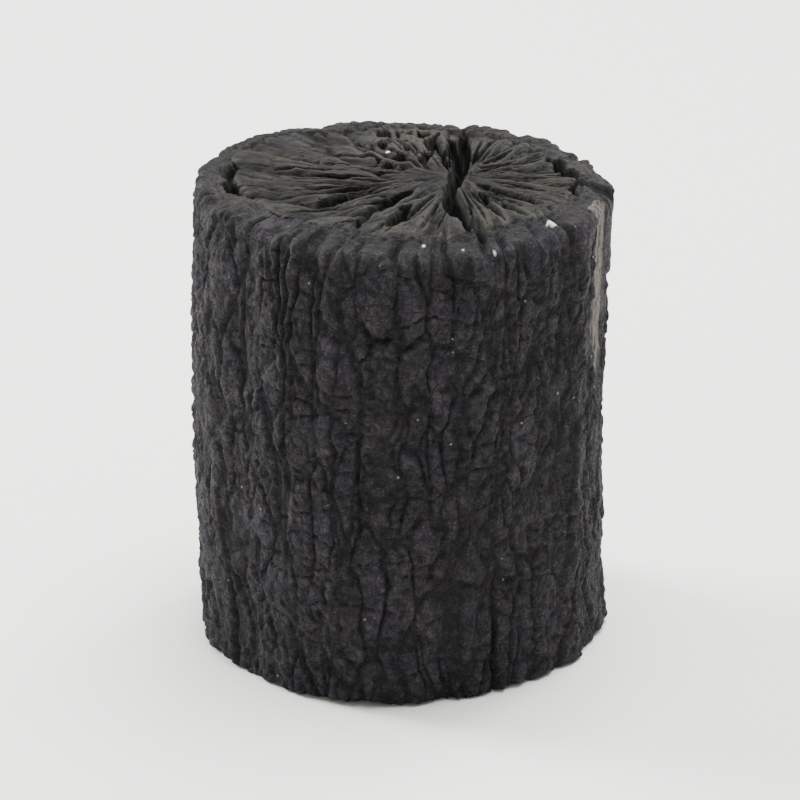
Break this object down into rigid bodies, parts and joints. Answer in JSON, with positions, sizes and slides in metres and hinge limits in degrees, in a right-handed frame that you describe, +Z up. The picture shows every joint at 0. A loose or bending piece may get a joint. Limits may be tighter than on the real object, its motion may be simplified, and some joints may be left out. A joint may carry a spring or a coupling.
{
  "type": "charcoal lump",
  "caption": "Short upright length of charred oak branch with its bark on, sawn square at both ends, with cracks that fan out from the pith like petals.",
  "frame": {"origin": "centre of the box round the piece, at its lower sawn end", "axes": "+Z up along the branch from the lower sawn end to the upper one, +X across its wider section, +Y towards its back"},
  "size_m": [0.064, 0.057, 0.076],
  "materials": {
    "charred_oak": "charred black oak: dull mottled bark on the side, grey-black sawn ends with a faint sheen along the ray cracks"
  },
  "bodies": {
    "root": {"charcoal_lump": "charred_oak"}
  },
  "joints": []
}
